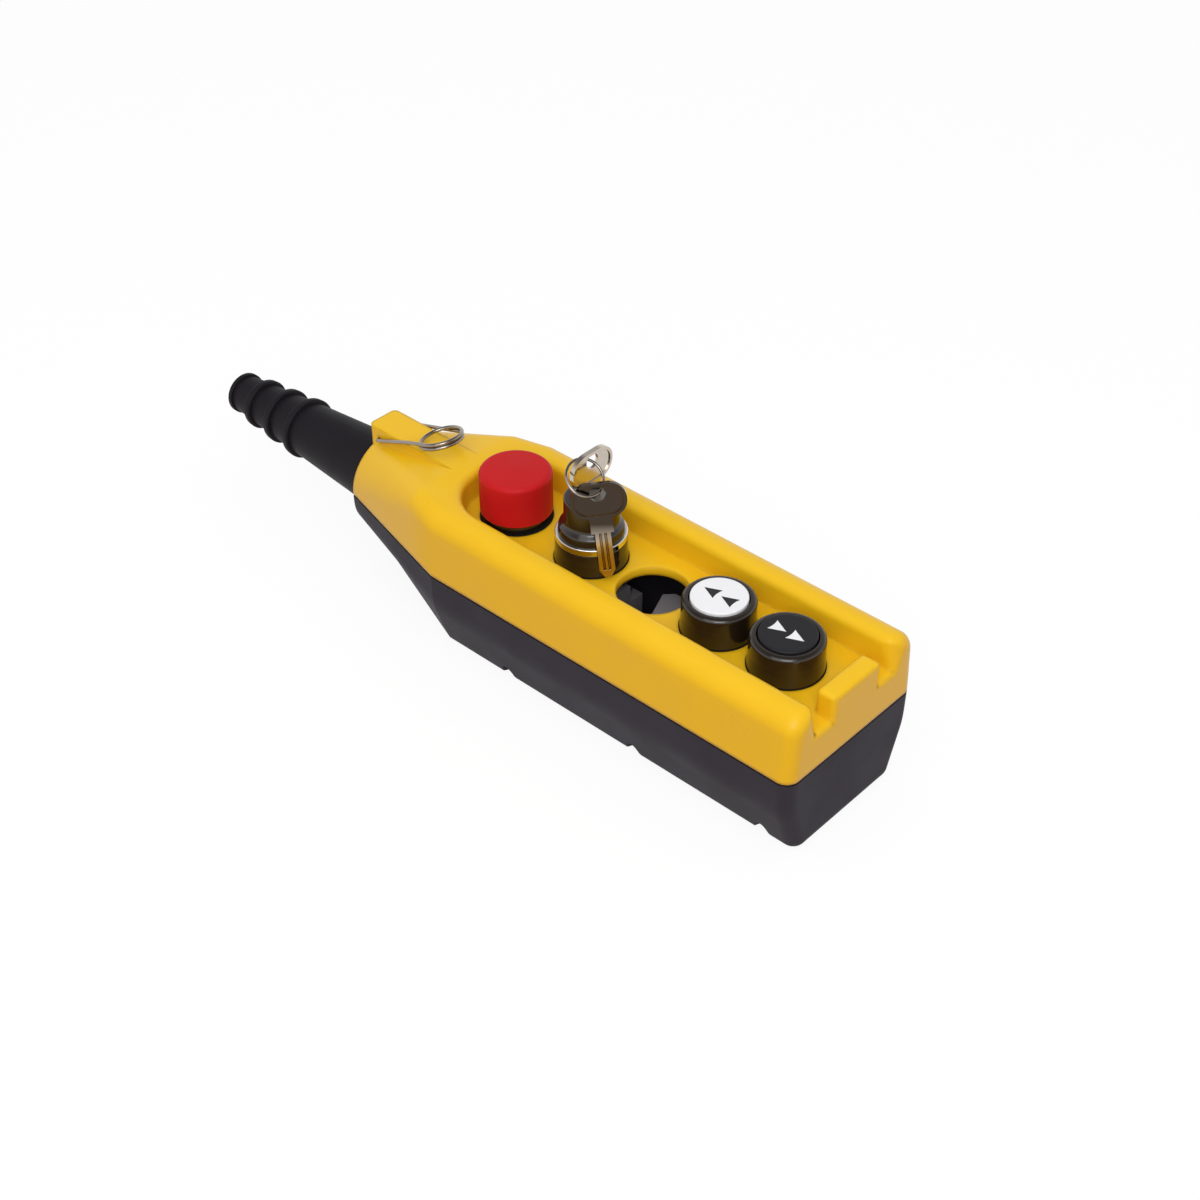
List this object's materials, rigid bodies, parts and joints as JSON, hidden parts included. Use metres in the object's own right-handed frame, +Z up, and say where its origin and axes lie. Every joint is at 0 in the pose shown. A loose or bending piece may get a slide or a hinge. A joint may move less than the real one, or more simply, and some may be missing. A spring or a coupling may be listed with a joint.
{
  "type": "crane pendant control",
  "caption": "Hand-held hoist pendant: two-part case with rubber cable sleeve, mushroom stop, key switch, up and down push buttons and a wire hanger.",
  "frame": {"origin": "on the back face, under the middle of the whole length", "axes": "+X from the cable sleeve to the blunt end, +Z up through the buttons"},
  "size_m": [0.3606, 0.0788, 0.1103],
  "materials": {
    "cover_yellow": "moulded, semi-gloss",
    "housing_grey": "moulded, fine texture",
    "seal_black": "matt",
    "sleeve_rubber": "matt",
    "bright_wire": "bright plated",
    "screw_steel": "zinc plated",
    "spring_steel": "pleated sheet",
    "stop_red": "satin",
    "head_black": "gloss",
    "bezel_chrome": "polished",
    "key_nickel": "nickel plated",
    "lock_metal": "satin",
    "disc_white": "satin",
    "disc_black": "satin",
    "inner_plastic": "moulded",
    "block_plastic": "moulded"
  },
  "bodies": {
    "housing": {"front_cover": "cover_yellow", "rear_housing": "housing_grey", "housing_seal": "seal_black", "operator_seals": "seal_black", "cable_sleeve": "sleeve_rubber", "case_screws": "screw_steel", "clamp_screws": "screw_steel", "terminal_screws": "screw_steel", "up_spring": "spring_steel", "down_spring": "spring_steel", "stop_spring": "spring_steel", "stop_body": "head_black", "key_collar": "head_black", "key_barrel": "head_black", "up_collar": "head_black", "down_collar": "head_black", "key_bezel": "bezel_chrome", "lock_nuts": "inner_plastic", "cable_clamp": "inner_plastic", "up_contact_block": "block_plastic", "down_contact_block": "block_plastic", "stop_contact_block": "block_plastic", "key_contact_block": "block_plastic", "terminal_strip": "block_plastic"},
    "hanger": {"hanger_ring": "bright_wire"},
    "stop_push": {"stop_plunger": "inner_plastic"},
    "stop_turn": {"stop_cap": "stop_red"},
    "lock_rotor": {"key_rotor": "lock_metal"},
    "key": {"switch_key": "key_nickel"},
    "split_ring": {"key_ring": "bright_wire"},
    "spare": {"spare_key": "key_nickel"},
    "up_button": {"up_cap": "disc_white", "up_plunger": "inner_plastic"},
    "down_button": {"down_cap": "disc_black", "down_plunger": "inner_plastic"}
  },
  "joints": [
    {"name": "hanger_swing", "type": "hinge", "parent": "housing", "child": "hanger", "pos_m": [-0.07395, 0, 0.0659], "axis": [0, -1, 0], "range_deg": [0, 150]},
    {"name": "stop_press", "type": "slide", "parent": "housing", "child": "stop_push", "axis": [0, 0, -1], "range_m": [0, 0.0035], "stiffness_N_per_m": 1500, "deforming": ["stop_spring"]},
    {"name": "stop_twist", "type": "hinge", "parent": "stop_push", "child": "stop_turn", "pos_m": [0.00245, 0, 0.0583], "axis": [0, 0, -1], "range_deg": [0, 45], "stiffness_Nm_per_rad": 0.1},
    {"name": "key_turn", "type": "hinge", "parent": "housing", "child": "lock_rotor", "pos_m": [0.04525, 0, 0.0583], "axis": [0, 0, 1], "range_deg": [0, 90]},
    {"name": "key_withdraw", "type": "slide", "parent": "lock_rotor", "child": "key", "axis": [0, 0, 1], "range_m": [0, 0.02]},
    {"name": "ring_swing", "type": "hinge", "parent": "key", "child": "split_ring", "pos_m": [0.04525, 0, 0.1057], "axis": [-0.6896, -0.5383, 0.4844], "range_deg": [0, 75]},
    {"name": "spare_swing", "type": "hinge", "parent": "split_ring", "child": "spare", "pos_m": [0.05433, -0.00617, 0.09735], "axis": [-0.022, -0.9914, -0.1292], "range_deg": [0, 60]},
    {"name": "up_press", "type": "slide", "parent": "housing", "child": "up_button", "axis": [0, 0, -1], "range_m": [0, 0.005], "stiffness_N_per_m": 800, "deforming": ["up_spring"]},
    {"name": "down_press", "type": "slide", "parent": "housing", "child": "down_button", "axis": [0, 0, -1], "range_m": [0, 0.005], "stiffness_N_per_m": 800, "deforming": ["down_spring"]}
  ]
}
